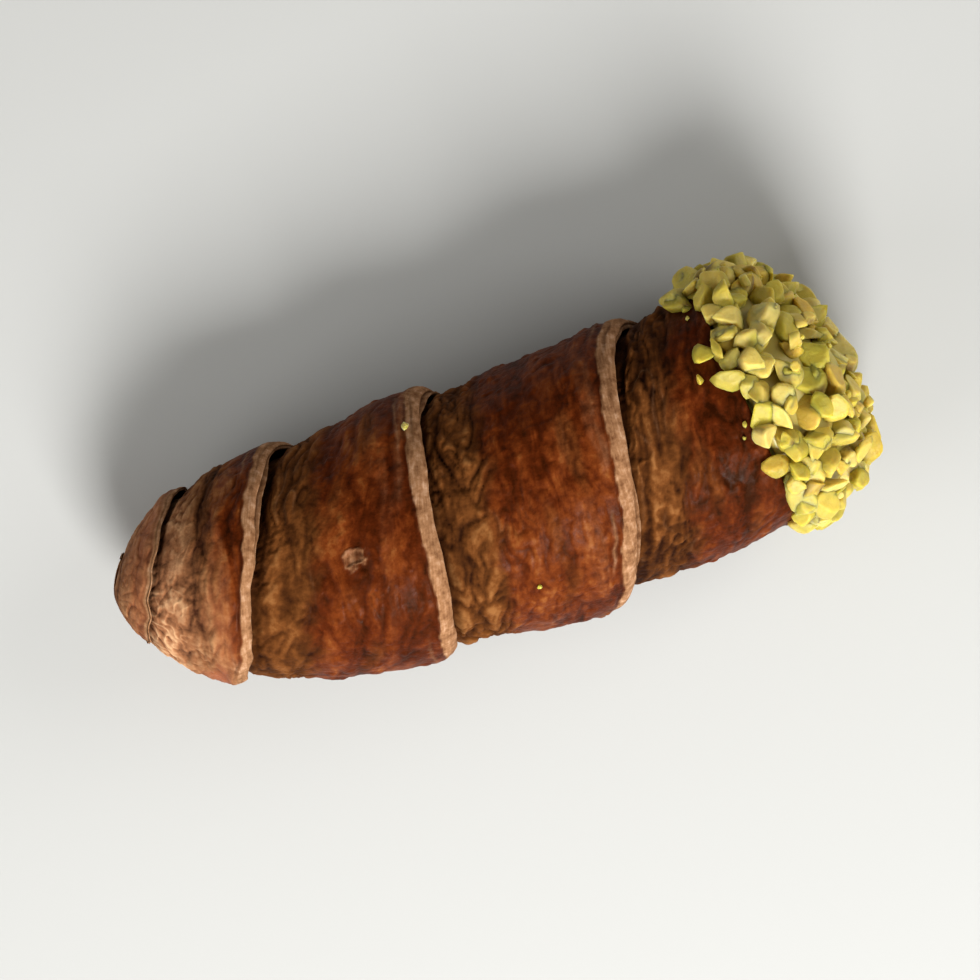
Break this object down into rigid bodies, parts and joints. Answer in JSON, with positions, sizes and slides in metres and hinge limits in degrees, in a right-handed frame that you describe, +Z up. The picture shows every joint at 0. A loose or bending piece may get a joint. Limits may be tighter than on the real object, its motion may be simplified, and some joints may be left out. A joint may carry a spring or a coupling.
{
  "type": "cannolo",
  "caption": "Small roll of wound cocoa puff pastry with overlapping turns, filled with pistachio cream and topped at its open end with chopped pistachios.",
  "frame": {"origin": "under the middle of the whole roll, on the surface it rests on", "axes": "+X along the roll from the closed tail to the filled mouth, +Z up"},
  "size_m": [0.077, 0.0306, 0.0269],
  "materials": {
    "pastry": "baked cocoa puff pastry, glazed on top, paler and dry at the cut edge",
    "filling": "pistachio cream under chopped pistachios, yellow to yellow-green"
  },
  "bodies": {
    "root": {"pastry_shell": "pastry", "pistachio_filling": "filling"}
  },
  "joints": []
}
